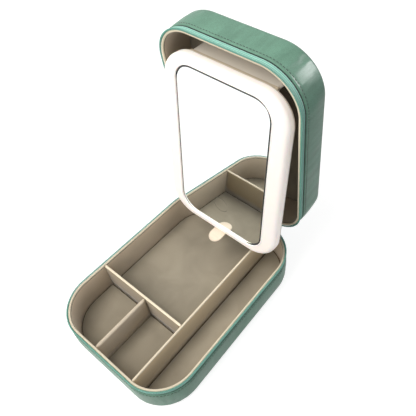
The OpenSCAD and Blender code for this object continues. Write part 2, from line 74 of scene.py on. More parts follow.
# Degrees from closed to open, and out of the lid's plane, and the mirror's middle in the lid's frame
LID_OPEN, MIRROR_TILT = 85.42, 11.02
MIRROR_Y, MIRROR_Z = 14.6 * MM, -22.3 * MM
GLASS_W, GLASS_L, GLASS_R = 57.2 * MM, 95.8 * MM, 21 * MM
# The hanger: its middle and width, and the (y, z) of its rods in the lid's and the mirror's frame
HANGER_X, HANGER_W = 2 * MM, 100 * MM
ROD_IN_LID, ROD_IN_MIRROR = (-81.1 * MM, 33.2 * MM), (-101.9 * MM, 13.1 * MM)

# How far below the shells' rims the stitches run, and how far in the rings of their undersides lie
STITCH_DROP, FLOOR_REACH = 3.1 * MM, (30 * MM, 20 * MM, 12 * MM)
# Noise cells per metre, along and up a wall, for each kind of unevenness
CREASE_WANDER, CREASE_DEPTH, WALL_WAVES, LINING_WAVES = (60, 90), (40, 30), (22, 25), (35, 45)
# Distance between two sections of a sweep, for creased leather, round rims and plain runs
CREASED_STEP, ROUND_STEP, PLAIN_STEP = 1.6 * MM, 2 * MM, 2.6 * MM
# Steps of a pad's corner and of the straight side between two corners, and its least corner radius
CORNER_STEPS, SIDE_STEPS, LEAST_R = 7, 8, 0.8 * MM
# A stitch's thread, as shares of its length and radius, and a direction that no stitch runs in
STITCH_SHAPE = ((0.0, 0.25), (0.08, 0.75), (0.25, 1.0), (0.75, 1.0), (0.92, 0.75), (1.0, 0.25))
NO_STITCH_RUNS = Vector((0.3, 0.2, 1))


def shift(x, y, z):
    return Matrix.Translation((x, y, z))


def lean(degrees):
    return Matrix.Rotation(math.radians(degrees), 4, "X")


# The lid's own frame has its rim at z = 0 and its back at +Z. The mirror's has the glass's face at z = 0.
FLIP = Matrix.Scale(-1, 4, UP)
BASE = Matrix.Identity(4)
LID = shift(0, HINGE_Y, HINGE_Z) @ lean(-LID_OPEN) @ shift(0, -HINGE_Y, -LID_HINGE_Z)
LID_FROM_BACK, LID_FROM_RIM = LID @ shift(0, 0, LID_D) @ FLIP, LID @ FLIP
MIRROR = LID @ shift(0, MIRROR_Y, MIRROR_Z) @ lean(-MIRROR_TILT)

# Each half of the case as a tray: its body, height, edge radius and place
TRAYS = (("base", BASE_H, BASE_EDGE, BASE), ("lid", LID_D, LID_EDGE, LID_FROM_BACK))


def linear(hex_colour):
    """An sRGB hex colour as linear light."""
    parts = [int(hex_colour[i:i + 2], 16) / 255 for i in (1, 3, 5)]
    return tuple(p / 12.92 if p <= 0.04045 else ((p + 0.055) / 1.055) ** 2.4 for p in parts)


def shade(colour, by):
    return tuple(min(1.0, c * by) for c in colour)


class VanityBoxSizes(bpy.types.PropertyGroup):
    """Sizes of what is sewn or moulded on the frame"""
    stitch_pitch: FloatProperty(
        name="Stitch pitch", description="Distance from one stitch to the next",
        default=3.4 * MM, min=2 * MM, max=6 * MM, unit="LENGTH", subtype="DISTANCE")
    stitch_length: FloatProperty(
        name="Stitch length", description="Thread that shows in each stitch",
        default=2.5 * MM, min=1 * MM, max=5 * MM, unit="LENGTH", subtype="DISTANCE")
    tooth_pitch: FloatProperty(
        name="Zip pitch", description="Distance from one turn of the zip coil to the next",
        default=1.4 * MM, min=1 * MM, max=2.5 * MM, unit="LENGTH", subtype="DISTANCE")
    # Fine leather cloth has pebbles about half as wide. They are drawn coarser, so that they show
    grain: FloatProperty(
        name="Grain", description="Width of one pebble of the leather cloth's embossing",
        default=0.9 * MM, min=0.4 * MM, max=3 * MM, unit="LENGTH", subtype="DISTANCE")
    crease: FloatProperty(
        name="Crease depth", description="Depth of the puckers where the leather bends round a corner",
        default=0.42 * MM, min=0, max=1 * MM, unit="LENGTH", subtype="DISTANCE")
    seed: IntProperty(
        name="Seed", description="Seed of the small irregularities of the stitches", default=7, min=0)


class VanityBoxColours(bpy.types.PropertyGroup):
    """Colours of the finishes"""
    leather: FloatVectorProperty(
        name="Leather cloth", description="Green of the outer leather cloth", subtype="COLOR",
        default=linear("#739c89"), min=0, max=1)
    zip: FloatVectorProperty(
        name="Zip", description="Teal of the zip's tape and coil", subtype="COLOR",
        default=linear("#7ec6b5"), min=0, max=1)
    lining: FloatVectorProperty(
        name="Lining", description="Taupe of the flocked lining", subtype="COLOR",
        default=linear("#c8baa6"), min=0, max=1)
    trim: FloatVectorProperty(
        name="Trim", description="Cream of the rims and of the dividers' bindings", subtype="COLOR",
        default=linear("#f1e4cb"), min=0, max=1)
    opal: FloatVectorProperty(
        name="Light frame", description="White of the mirror's light-diffusing frame", subtype="COLOR",
        default=linear("#f6f1ee"), min=0, max=1)


# Shapes. Each is a pair of points and faces

class Outline:
    """Rounded rectangle, walked anticlockwise from the middle of the hinge wall."""

    def __init__(self, half_w, half_l, radius):
        x, y, corner = half_w - radius, half_l - radius, radius * TURN / 4
        self.radius = radius
        # A run is (length, start, direction, outward), and a bend is (length, centre, first angle)
        self.parts = (
            (x, (0, half_l), (-1, 0), (0, 1)), (corner, (-x, y), 90),
            (2 * y, (-half_w, y), (0, -1), (-1, 0)), (corner, (-x, -y), 180),
            (2 * x, (-x, -half_l), (1, 0), (0, -1)), (corner, (x, -y), 270),
            (2 * y, (half_w, -y), (0, 1), (1, 0)), (corner, (x, y), 0),
            (x, (x, half_l), (-1, 0), (0, 1)))
        self.length = sum(part[0] for part in self.parts)

    def at(self, s):
        """Point and outward direction at the distance s, and how deep s is in a bend.

        That depth is 0 on a run and at a bend's ends, and 1 in its middle.
        """
        s %= self.length
        for length, (x, y), *rest in self.parts:
            if s <= length:
                break
            s -= length
        if len(rest) == 2:
            (dx, dy), outward = rest
            return (x + dx * s, y + dy * s), outward, 0.0
        angle = math.radians(rest[0]) + s / self.radius
        outward = (math.cos(angle), math.sin(angle))
        bend = math.sin(math.pi * min(s / length, 1))
        return (x + self.radius * outward[0], y + self.radius * outward[1]), outward, bend

    def stops(self, step):
        """Distances at one step in the bends and two in the runs, with a stop where each begins."""
        found, begin = [], 0.0
        for length, _, *rest in self.parts:
            count = max(1, round(length / (2 * step if len(rest) == 2 else step)))
            found += [begin + length * i / count for i in range(count)]
            begin += length
        return found


CASE = Outline(HALF_W, HALF_L, CORNER)
GLASS_RIM = Outline(GLASS_W, GLASS_L, GLASS_R)


def arc(centre, radius, start, end, steps):
    """Points of an arc, in degrees from the first direction towards the second."""
    turns = [math.radians(start + (end - start) * i / steps) for i in range(steps + 1)]
    return [(centre[0] + radius * math.cos(a), centre[1] + radius * math.sin(a)) for a in turns]


def cord_section(out, up, radius):
    """A thin cord's section, with six sides."""
    return arc((out, up), radius, 0, 300, 5)


def circle_round(centre, side, over, radius, sides, flat=1.0):
    """Points of a circle in the plane of two directions, flattened along the second."""
    turns = [TURN * j / sides for j in range(sides)]
    return [centre + side * radius * math.cos(a) + over * radius * flat * math.sin(a) for a in turns]


def loft(rings, closed=False, loop=True, capped=True):
    """Skins rings of equally many points.

    closed joins the last ring to the first, and loop joins each ring's last point to its first.
    """
    total, count = len(rings), len(rings[0])
    faces = []
    for i in range(total if closed else total - 1):
        a, b = i * count, (i + 1) % total * count
        for j in range(count if loop else count - 1):
            k = (j + 1) % count
            faces.append((a + j, b + j, b + k, a + k))
    if capped and not closed:
        faces.append(tuple(range(count)))
        faces.append(tuple((total - 1) * count + j for j in reversed(range(count))))
    return [tuple(p) for ring in rings for p in ring], faces


def swept(outline, section, stops, closed=True, loop=True, wobble=None):
    """Sweeps a section of (outward, up) points along the outline. wobble moves each of them."""
    rings = []
    for s in stops:
        (x, y), (nx, ny), bend = outline.at(s)
        moved = [wobble(s, bend, *p) for p in section] if wobble else section
        rings.append([(x + nx * out, y + ny * out, up) for out, up in moved])
    return loft(rings, closed, loop)


def tray_shell(section, step, wobble):
    """A tray: the section runs from the floor's underside round the wall to the floor's top."""
    points, faces = swept(CASE, section, CASE.stops(step), loop=False, wobble=wobble)
    firsts = range(0, len(points), len(section))
    faces.append(tuple(firsts))
    faces.append(tuple(i + len(section) - 1 for i in reversed(firsts)))
    return points, faces


def tube_along(line, radius, sides=6, capped=True, flat=1.0):
    """A tube round a line of points."""
    rings, last = [], len(line) - 1
    for i, p in enumerate(line):
        along = (Vector(line[min(i + 1, last)]) - Vector(line[max(i - 1, 0)])).normalized()
        side = along.cross(UP)
        side = side.normalized() if side.length > ALMOST_NONE else Vector((1, 0, 0))
        rings.append(circle_round(Vector(p), side, side.cross(along).normalized(), radius, sides, flat))
    return loft(rings, capped=capped)


def stitch(start, end, radius):
    """One stitch's thread between its two needle holes."""
    start, end = Vector(start), Vector(end)
    along = (end - start).normalized()
    side = along.cross(NO_STITCH_RUNS).normalized()
    over = along.cross(side)
    return loft([circle_round(start.lerp(end, t), side, over, radius * grow, 6)
                 for t, grow in STITCH_SHAPE])


def joined(parts):
    """Several shapes as one."""
    points, faces = [], []
    for some, sides in parts:
        first = len(points)
        points += some
        faces += [tuple(first + i for i in side) for side in sides]
    return points, faces


FINISHES = {}


def piece(name, shape, finish, body, place=BASE, replaces=()):
    """Makes a smooth object of a shape, facing outwards, and ties it to its body."""
    mesh = bpy.data.meshes.new(name)
    mesh.from_pydata([place @ Vector(p) for p in shape[0]], [], shape[1])
    mesh.validate()
    facing = bmesh.new()
    facing.from_mesh(mesh)
    bmesh.ops.recalc_face_normals(facing, faces=facing.faces)
    facing.to_mesh(mesh)
    facing.free()
    mesh.shade_smooth()
    mesh.materials.append(FINISHES[finish])
    made = bpy.data.objects.new(name, mesh)
    bpy.context.scene.collection.objects.link(made)
    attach(made, body)
    if replaces:
        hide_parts(*replaces)
    return made


# Finishes

# A colour mix's sockets go by number, because its other kinds of socket have the same names
FACTOR, FIRST, SECOND, MIXED = 0, 6, 7, 2


def wire(tree, node, inputs):
    """Gives a node's sockets their values or links. Another node stands for its first output."""
    for key, value in inputs.items():
        socket = node.inputs[key]
        if isinstance(value, bpy.types.Node):
            value = value.outputs[0]
        if isinstance(value, bpy.types.NodeSocket):
            tree.links.new(value, socket)
        elif socket.type == "RGBA":
            socket.default_value = (*value, 1)
        else:
            socket.default_value = value


def add(tree, kind, inputs=None, **settings):
    """Adds a node with its settings, and its sockets' values or links."""
    node = tree.nodes.new("ShaderNode" + kind)
    for key, value in settings.items():
        setattr(node, key, value)
    wire(tree, node, inputs or {})
    return node


def new_finish(name, inputs):
    """A new material with its shader's plain values, and the place on the object for its patterns."""
    material = bpy.data.materials.new(name)
    material.use_nodes = True
    tree = material.node_tree
    shader = tree.nodes["Principled BSDF"]
    wire(tree, shader, inputs)
    return material, tree, shader, add(tree, "TexCoord").outputs["Object"]


def leather_cloth(name, colour, pebble, drawn):
    """Polyurethane leather cloth, embossed: small pebbles with soft gloss, and darker valleys.

    drawn stretches its wrinkles in the direction in which the cloth was drawn over the rim. The wrinkles
    and a slow unevenness also lighten and darken its colour, as painted shading.
    """
    material, tree, shader, place = new_finish(name, {"IOR": 1.5, "Specular IOR Level": 0.13})
    pebbles = add(tree, "TexVoronoi", {"Vector": place, "Scale": 1 / pebble, "Randomness": 0.9})
    pores = add(tree, "TexNoise", {"Vector": place, "Scale": 2.2 / pebble, "Detail": 3.0})
    # Slow painted shading over 25 mm, as the board under the cloth lets it lie a little uneven
    slow = add(tree, "TexNoise", {"Vector": place, "Scale": 1 / (25 * MM), "Detail": 2.0})
    # Long shallow wrinkles up the wall, 8 mm apart, bumped and also painted lighter and darker
    stretch = add(tree, "Mapping", {"Vector": place, "Scale": drawn})
    wrinkles = add(tree, "TexNoise", {"Vector": stretch, "Scale": 1 / (8 * MM), "Detail": 2.0})
    # Painted shading: the colour gets lighter and darker with the slow unevenness and the wrinkles
    tone = add(tree, "Math", {0: slow, 1: wrinkles}, operation="ADD")
    share = add(tree, "MapRange", {"Value": tone, "From Min": 0.7, "From Max": 1.3})
    painted_shading = add(tree, "Mix", {FACTOR: share, FIRST: shade(colour, 0.86), SECOND: shade(colour, 1.12)},
               data_type="RGBA")
    valley = add(tree, "MapRange", {"Value": pebbles, "From Min": 0.25, "From Max": 0.7, "To Max": 0.35})
    darker_in_valleys = add(tree, "Mix", {FACTOR: valley, FIRST: painted_shading.outputs[MIXED], SECOND: shade(colour, 0.6)},
                 data_type="RGBA")
    gloss = add(tree, "MapRange",
                {"Value": slow, "From Min": 0.3, "From Max": 0.7, "To Min": 0.3, "To Max": 0.44})
    rise = add(tree, "Math", {0: pebbles, 1: pores}, operation="SUBTRACT")
    emboss = add(tree, "Bump", {"Height": rise, "Strength": 0.35, "Distance": 0.12 * MM}, invert=True)
    loose = add(tree, "Bump",
                {"Height": wrinkles, "Strength": 0.25, "Distance": 1.6 * MM, "Normal": emboss})
    wire(tree, shader, {"Base Color": darker_in_valleys.outputs[MIXED], "Roughness": gloss, "Normal": loose})
    return material


def flocked_cloth(name, colour, nap=0.5 * MM, mottle=0.1, sheen=0.35, painted_light_rise=None):
    """Flocked suede cloth: a dense short nap, matt, paler at grazing angles, with brushed patches.

    nap is the width of a tuft, as single fibres are too fine to show. painted_light_rise is (z at the foot,
    z at the top, tone there): painted light and shade, paler towards an upright face's top, darker at its
    foot.
    """
    material, tree, shader, place = new_finish(
        name, {"Roughness": 0.92, "IOR": 1.45, "Sheen Weight": sheen, "Sheen Roughness": 0.5})
    fibres = add(tree, "TexNoise", {"Vector": place, "Scale": 1 / nap, "Detail": 4.0, "Roughness": 0.7})
    # Patches of 30 to 40 mm where the nap was brushed the other way
    patches = add(tree, "TexNoise",
                  {"Vector": place, "Scale": 1 / (37 * MM), "Detail": 2.0, "Distortion": 0.6})
    faint = add(tree, "Math", {0: fibres, 1: 0.35}, operation="MULTIPLY")
    both = add(tree, "Math", {0: faint, 1: patches}, operation="ADD")
    share = add(tree, "MapRange", {"Value": both, "From Min": 0.45, "From Max": 0.9})
    toned = add(tree, "Mix",
                {FACTOR: share, FIRST: shade(colour, 1 - mottle), SECOND: shade(colour, 1 + mottle)},
                data_type="RGBA")
    # Painted light and shade: the face is paler towards its top and darker towards its foot
    if painted_light_rise:
        foot, top, tone = painted_light_rise
        height = add(tree, "SeparateXYZ", {0: place}).outputs["Z"]
        painted_light_share = add(tree, "MapRange", {"Value": height, "From Min": foot, "From Max": top})
        steep = add(tree, "Math", {0: painted_light_share, 1: 1.6}, operation="POWER")
        toned = add(tree, "Mix", {FACTOR: steep, FIRST: toned.outputs[MIXED], SECOND: shade(colour, tone)},
                    data_type="RGBA")
    bump = add(tree, "Bump", {"Height": fibres, "Strength": 0.3, "Distance": 0.15 * MM})
    wire(tree, shader, {"Base Color": toned.outputs[MIXED], "Normal": bump})
    return material


def woven_tape(name, colour, pitch=0.5 * MM, roughness=0.6, relief=1.0):
    """Woven polyester: crossed ribs of bright yarn with a faint silky gloss.

    pitch is from yarn to yarn, and relief is how strongly the ribs show. A wave repeats every
    TURN / 20 / scale along an axis, and every TURN / 10 / scale when it is diagonal.
    """
    material, tree, shader, place = new_finish(
        name, {"Roughness": roughness, "IOR": 1.55, "Sheen Weight": 0.2})
    ribs = add(tree, "TexWave", {"Vector": place, "Scale": TURN / 10 / pitch, "Distortion": 0.4},
               bands_direction="DIAGONAL")
    picks = add(tree, "TexWave", {"Vector": place, "Scale": TURN / 20 / pitch, "Distortion": 0.4},
                bands_direction="Z")
    weave = add(tree, "Math", {0: ribs.outputs["Fac"], 1: picks.outputs["Fac"]}, operation="MULTIPLY")
    toned = add(tree, "Mix", {FACTOR: weave, FIRST: shade(colour, 1 - 0.18 * relief),
                              SECOND: shade(colour, 1 + 0.12 * relief)}, data_type="RGBA")
    bump = add(tree, "Bump", {"Height": weave, "Strength": 0.4, "Distance": 0.15 * MM})
    wire(tree, shader, {"Base Color": toned.outputs[MIXED], "Normal": bump})
    return material


def moulded(name, colour, roughness, ior=1.5, texture=0.4 * MM, depth=0.03 * MM, more=None):
    """Injection-moulded plastic: even colour, a fine spark-eroded texture and slight cloudiness.

    A real mould's texture has a grit of under 0.1 mm. Here it is drawn coarser, so that it shows.
    """
    material, tree, shader, place = new_finish(name, {"Roughness": roughness, "IOR": ior, **(more or {})})
    cloud = add(tree, "TexNoise", {"Vector": place, "Scale": 1 / (17 * MM), "Detail": 2.0})
    share = add(tree, "MapRange", {"Value": cloud, "From Min": 0.3, "From Max": 0.7})
    toned = add(tree, "Mix", {FACTOR: share, FIRST: shade(colour, 0.975), SECOND: colour},
                data_type="RGBA")
    skin = add(tree, "TexNoise", {"Vector": place, "Scale": 1 / texture, "Detail": 2.0})
    bump = add(tree, "Bump", {"Height": skin, "Strength": 0.25, "Distance": depth})
    wire(tree, shader, {"Base Color": toned.outputs[MIXED], "Normal": bump})
    return material


def bright_metal(name, colour):
    """Plated or drawn metal: bright, with a soft haze and fine handling scratches 0.4 mm apart."""
    material, tree, shader, place = new_finish(name, {"Base Color": colour, "Metallic": 1.0})
    haze = add(tree, "TexNoise", {"Vector": place, "Scale": 1 / (3.3 * MM), "Detail": 4.0})
    gloss = add(tree, "MapRange",
                {"Value": haze, "From Min": 0.35, "From Max": 0.7, "To Min": 0.18, "To Max": 0.38})
    drawn = add(tree, "Mapping", {"Vector": place, "Scale": (1.0, 1.0, 0.08)})
    scratches = add(tree, "TexNoise", {"Vector": drawn, "Scale": 1 / (0.4 * MM), "Detail": 2.0})
    bump = add(tree, "Bump", {"Height": scratches, "Strength": 0.12, "Distance": 0.02 * MM})
    wire(tree, shader, {"Roughness": gloss, "Normal": bump})
    return material


def silvered_glass():
    """Silvered float glass: a clear mirror, faintly cool, with a trace of finger marks 18 mm wide."""
    material, tree, shader, place = new_finish(
        "silvered_glass", {"Base Color": linear("#f2f6f6"), "Metallic": 1.0})
    marks = add(tree, "TexNoise", {"Vector": place, "Scale": 1 / (18 * MM), "Detail": 3.0})
    gloss = add(tree, "MapRange",
                {"Value": marks, "From Min": 0.45, "From Max": 0.8, "To Min": 0.012, "To Max": 0.05})
    wire(tree, shader, {"Roughness": gloss})
    return material


def opal_polycarbonate(colour):
    """Milky polycarbonate over the lit board: light spreads in it, and it glows a little."""
    return moulded("opal_polycarbonate", colour, 0.35, ior=1.58, texture=0.8 * MM, depth=0.01 * MM, more={
        "Subsurface Weight": 0.25, "Subsurface Scale": 4 * MM,
        "Emission Color": linear("#fff6ee"), "Emission Strength": 0.26})


# The finish of each CAD solid that keeps its own shape
HARD_FINISHES = {
    "zip_slider": "zinc", "zip_pull": "zinc", "lid_hanger_rail": "rail", "mirror_hanger_rail": "rail",
    "light_frame": "opal", "mirror_glass": "mirror", "back_cover": "cover", "led_board": "board",
    "led_chips": "chip", "battery_cell": "cell", "control_board": "green_board",
    "usb_socket": "socket", "touch_film": "film",
}


class VANITY_OT_finishes(bpy.types.Operator):
    """Makes every finish of the box and puts the hard ones on their frame nodes"""
    bl_idname = "vanity.finishes"
    bl_label = "Finishes"

    def execute(self, context):
        sizes, colours = context.scene.vanity_sizes, context.scene.vanity_colours
        leather, teal = tuple(colours.leather), tuple(colours.zip)
        lining, trim = tuple(colours.lining), tuple(colours.trim)
        short_nap = 0.4 * MM
        FINISHES.update({
            # Polyurethane-coated cloth, embossed: green, with soft gloss on its pebbles. The wrinkles
            # of each shell run up its own walls
            "base_leather": leather_cloth("leather_cloth", leather, sizes.grain, (1.0, 1.0, 0.2)),
            "lid_leather": leather_cloth("lid_leather_cloth", leather, sizes.grain, (1.0, 0.2, 1.0)),
            # Spun polyester and cotton tape, woven: dark matt lines along the seams. The welt's near-black
            # green is painted shade, the shadow in the groove between the leather and the zip tape
            "thread": woven_tape("spun_thread", shade(leather, 0.22), pitch=0.3 * MM, roughness=0.8),
            "welt": woven_tape("welt_painted_shade_cloth", linear("#12332b"), pitch=0.4 * MM, roughness=0.85),
            # Woven polyester tape with paler cords, and a wound nylon wire: the ribbed teal zip
            "tape": woven_tape("zip_tape_weave", teal, pitch=0.55 * MM),
            "tape_cord": woven_tape("tape_cord", linear("#b4ddd2"), pitch=0.4 * MM),
            "coil": moulded("nylon_coil", shade(teal, 0.72), 0.38, ior=1.53),
            # Flocked suede cloth: a matt taupe inside, whose walls get paler towards the rim by painted
            # light. The lid's lining is a painted lighter copy, to lift the shade inside the lid
            "base_lining": flocked_cloth("flocked_lining", lining, painted_light_rise=(10 * MM, BASE_H, 1.6)),
            "lid_lining": flocked_cloth("flocked_lid_lining", shade(lining, 1.05)),
            "pad": flocked_cloth("flocked_pad", linear("#989080"), mottle=0.14),
            # Dark brown cords: painted shadow round the floor pads, and below the rims' rolls partly a
            # seam, partly painted shadow
            "seam": flocked_cloth("seam_and_shadow_cord", linear("#4b4234"), mottle=0.05, sheen=0.0),
            # The same cloth in cream, with a shorter nap, rolled over the rims and the dividers' tops. The
            # base's rim is a painted darker copy and the lid's a painted lighter one. The dividers'
            # bindings, lighter than their boards, are partly painted highlight along the tops: the cross
            # divider's a lit copy, the long one's shaded
            "base_rim": flocked_cloth("rim_binding", shade(trim, 0.82), short_nap, 0.05),
            "lid_rim": flocked_cloth("lid_rim_binding", shade(trim, 1.12), short_nap, 0.04),
            "cross_binding": flocked_cloth("cross_divider_binding", shade(trim, 1.06), short_nap, 0.04),
            "long_binding": flocked_cloth("long_divider_binding", shade(trim, 0.86), short_nap, 0.04),
            # Flocked board: the dividers' flat faces, and the loose one's padded sides, paler towards their
            # tops by painted light. The cross divider's board is a painted darker copy, for the shade on
            # its face
            "divider": flocked_cloth("divider_flock", linear("#bfb193"), short_nap, 0.06,
                                     painted_light_rise=(15 * MM, BASE_H, 1.6)),
            "cross_divider": flocked_cloth("cross_divider_flock", linear("#918167"), short_nap, 0.06,
                                           painted_light_rise=(15 * MM, BASE_H, 1.4)),
            "soft_divider": flocked_cloth("padded_divider_flock", linear("#bdb19e"), mottle=0.08,
                                          painted_light_rise=(10 * MM, 40 * MM, 1.2)),
            # Woven polyester webbing: pale, matt and almost smooth
            "strap": woven_tape("hanger_webbing", linear("#fffaf0"), roughness=0.75, relief=0.3),
            "tab": woven_tape("tab_cloth", linear("#e8d8c4"), roughness=0.8, relief=0.2),
            # The mirror: opal frame, silvered glass with its painted edge and etched mark, matt cover
            "opal": opal_polycarbonate(tuple(colours.opal)),
            "mirror": silvered_glass(),
            "edge": moulded("glass_edge_paint", linear("#262625"), 0.5),
            "etched": moulded("etched_mark", linear("#6f6c61"), 0.6),
            "cover": moulded("matt_abs", linear("#efe8df"), 0.45, ior=1.53),
            # Extruded nylon: the cream rails that hold the hanger's rods
            "rail": moulded("nylon_rail", linear("#e6dac2"), 0.5, ior=1.53),
            # Nickel-plated zinc casting: the bright slider and its pull
            "zinc": bright_metal("nickel_plated_zinc", linear("#c9ccca")),
            # Inside the mirror: glossy lacquer on the boards, waxy yellow resin on the chips, silvery
            # foil round the cell, grey drawn steel, and a brown film with copper in it
            "board": moulded("solder_mask_white", linear("#e6eae4"), 0.4),
            "green_board": moulded("solder_mask_green", linear("#2f6b45"), 0.35),
            "chip": moulded("phosphor_resin", linear("#f2dc8c"), 0.4),
            "cell": bright_metal("laminated_foil", linear("#a9aeb2")),
            "socket": bright_metal("drawn_steel", linear("#b9bcc0")),
            "film": moulded("copper_film", linear("#b98a4a"), 0.35),
        })
        for node, finish in HARD_FINISHES.items():
            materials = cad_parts[node].data.materials
            materials.clear()
            materials.append(FINISHES[finish])
        return {"FINISHED"}


# Shells and linings

def uneven(s, up, cells, seed):
    """Smooth noise from about -1 to 1 at a place on a wall."""
    return noise.noise(Vector((s * cells[0], up * cells[1], seed)))


def skin_section(height, edge_r):
    """Section of the leather shell: underside, rounded edge, wall, turned rim, inner face.

    The wall swells in its middle, is drawn in at the stitches, and rolls out below the rim.
    """
    bulge, dent, dent_w, roll, roll_w = 0.5 * MM, 0.32 * MM, 0.7 * MM, 0.25 * MM, 0.8 * MM
    seam_z, roll_z, wall_top = height - STITCH_DROP, height - 1.2 * MM, height - 0.75 * MM
    rim_r, steps = 0.65 * MM, 26
    section = [(-reach, 0) for reach in FLOOR_REACH] + arc((-edge_r, edge_r), edge_r, -90, 0, 9)
    for z in [edge_r + (wall_top - edge_r) * i / steps for i in range(1, steps + 1)]:
        full = bulge * math.sin(math.pi * (z - edge_r) / (height - edge_r))
        sunk = dent * math.exp(-((z - seam_z) / dent_w) ** 2)
        section.append((full - sunk + roll * math.exp(-((z - roll_z) / roll_w) ** 2), z))
    section += arc((-rim_r, height - rim_r), rim_r, 20, 180, 7)
    section += [(-SKIN, edge_r)] + arc((-edge_r, edge_r), edge_r - SKIN, 0, -90, 6)[1:]
    return section + [(-reach, SKIN) for reach in reversed(FLOOR_REACH)]


def pucker(depth, height, seed):
    """Creases up the wall where the leather is pulled round a bend, and slow waves all along it."""
    period, wave, top_fade, foot_fade = 1.4 * MM, 0.35 * MM, 5 * MM, 9 * MM
    face, foot = -0.3 * MM, 0.5 * MM

    def wobble(s, bend, out, up):
        if out < face or up < foot:
            return out, up
        # The straight walls have next to no creases. In a bend they get sharper and deeper
        wander = 3 * uneven(s, up, CREASE_WANDER, seed)
        crease = math.sin(s / period + wander + seed) * (0.3 + 0.7 * bend)
        amount = depth * (0.03 + 0.97 * bend) * (0.5 + uneven(s, up, CREASE_DEPTH, seed + 9))
        slow = wave * uneven(s, up, WALL_WAVES, seed + 4)
        fade = min(1, (height - up) / top_fade) * min(1, up / foot_fade)
        return out + (crease * amount + slow) * max(0, fade), up
    return wobble


def stitch_row(up, sizes, seed):
    """Thread stitches in a row round the case, each a little aslant and sunk in the leather."""
    radius, sunk, slant, stray = 0.4 * MM, -0.1 * MM, 0.25 * MM, 0.06 * MM
    chance, parts = random.Random(seed), []
    count = int(CASE.length / sizes.stitch_pitch)
    for i in range(count):
        ends = []
        for side in (-0.5, 0.5):
            s = (i + 0.5) * CASE.length / count + side * sizes.stitch_length
            (x, y), (nx, ny), _ = CASE.at(s)
            height = up + side * slant + chance.uniform(-1, 1) * stray
            ends.append((x + nx * sunk, y + ny * sunk, height))
        parts.append(stitch(*ends, radius))
    return joined(parts)


class VANITY_OT_shells(bpy.types.Operator):
    """Builds the leather shells of base and lid, with their stitching and the welt below the zip"""
    bl_idname = "vanity.shells"
    bl_label = "Leather shells"

    def execute(self, context):
        sizes = context.scene.vanity_sizes
        back, thin, face = -1.34 * MM, -1.24 * MM, -0.85 * MM
        for seed, (body, depth, edge_r, place) in enumerate(TRAYS, 1):
            height = depth - ZIP_BAND
            creases = pucker(sizes.crease, height, seed)
            shell = tray_shell(skin_section(height, edge_r), CREASED_STEP, creases)
            piece(f"{body}_leather", shell, f"{body}_leather", body, place,
                  [f"{body}_skin"])
            row = stitch_row(height - STITCH_DROP, sizes, sizes.seed + seed)
            piece(f"{body}_stitches", row, "thread", body, place)
            # The welt's backing runs on up behind the zip tape, and closes the wall where the tape ends
            # The welt's near-black colour is painted shade: the groove's shadow below the zip tape
            foot, bead, top = height - 0.4 * MM, height + 1.5 * MM, height + 5.4 * MM
            welt = [(back, foot), (face, foot), (face, bead), (thin, bead), (thin, top), (back, top)]
            piece(f"{body}_welt", swept(CASE, welt, CASE.stops(PLAIN_STEP)), "welt", body,
                  place)
        return {"FINISHED"}


def slack(s, bend, out, up):
    """The lining's inner wall lies a little loose, mostly outwards. Its other faces stay."""
    wave, near, seed = 0.12 * MM, 0.05 * MM, 3.3
    if abs(out + WALL_AT) > near:
        return out, up
    return out + wave * (uneven(s, up, LINING_WAVES, seed) + 0.4), up


class VANITY_OT_linings(bpy.types.Operator):
    """Builds the flocked linings and their rolled cream rims"""
    bl_idname = "vanity.linings"
    bl_label = "Linings"

    def execute(self, context):
        far, near, wall_steps = -30 * MM, -14 * MM, 12
        foot_r, lip, roll_r, seam_r, seam_at = 1.2 * MM, 0.1 * MM, 1.2 * MM, 0.22 * MM, WALL_AT - 0.05 * MM
        for body, height, edge_r, place in TRAYS:
            # The lining ends inside the roll, whose own top is pressed flat just below the rim
            top, roll_z, flat_z, seam_z = (height - down * MM for down in (1.3, 1.15, 0.02, 2.35))
            drop = top - FLOOR - foot_r
            section = [(far, LINING_AT), (near, LINING_AT)]
            section += arc((-edge_r, edge_r), edge_r - LINING_AT, -90, 0, 6)
            section += [(-LINING_AT, top), (-WALL_AT + lip, top)]
            section += [(-WALL_AT, top - drop * i / wall_steps) for i in range(1, wall_steps + 1)]
            section += arc((-WALL_AT - foot_r, FLOOR + foot_r), foot_r, 0, -90, 4)[1:]
            section += [(near, FLOOR), (far, FLOOR)]
            piece(f"{body}_lining", tray_shell(section, PLAIN_STEP, slack), f"{body}_lining", body,
                  place, [f"{body}_liner"])
            roll = [(u, min(z, flat_z))
                    for u, z in arc((-(LINING_AT + WALL_AT) / 2, roll_z), roll_r, 0, 330, 11)]
            piece(f"{body}_rim_binding", swept(CASE, roll, CASE.stops(ROUND_STEP)), f"{body}_rim", body,
                  place)
            # A dark cord below the roll: partly its seam, partly painted shadow under the roll
            seam = cord_section(-seam_at, seam_z, seam_r)
            piece(f"{body}_rim_seam", swept(CASE, seam, CASE.stops(PLAIN_STEP)), "seam", body,
                  place)
        return {"FINISHED"}


# Pads and dividers

def panel_outline(x0, x1, y0, y1, radii, inset):
    """Rounded rectangle with its own radius at each corner, drawn in by an inset."""
    x0, x1, y0, y1 = x0 + inset, x1 - inset, y0 + inset, y1 - inset
    room = x1 - x0 - max(min(radii) - inset, LEAST_R)
    points = []
    for (x, y, start), radius in zip(((x0, y0, 180), (x1, y0, 270), (x1, y1, 0), (x0, y1, 90)), radii):
        r = min(max(radius - inset, LEAST_R), room)
        centre = (x + r if x == x0 else x - r, y + r if y == y0 else y - r)
        points += arc(centre, r, start, start + 90, CORNER_STEPS)
    return points


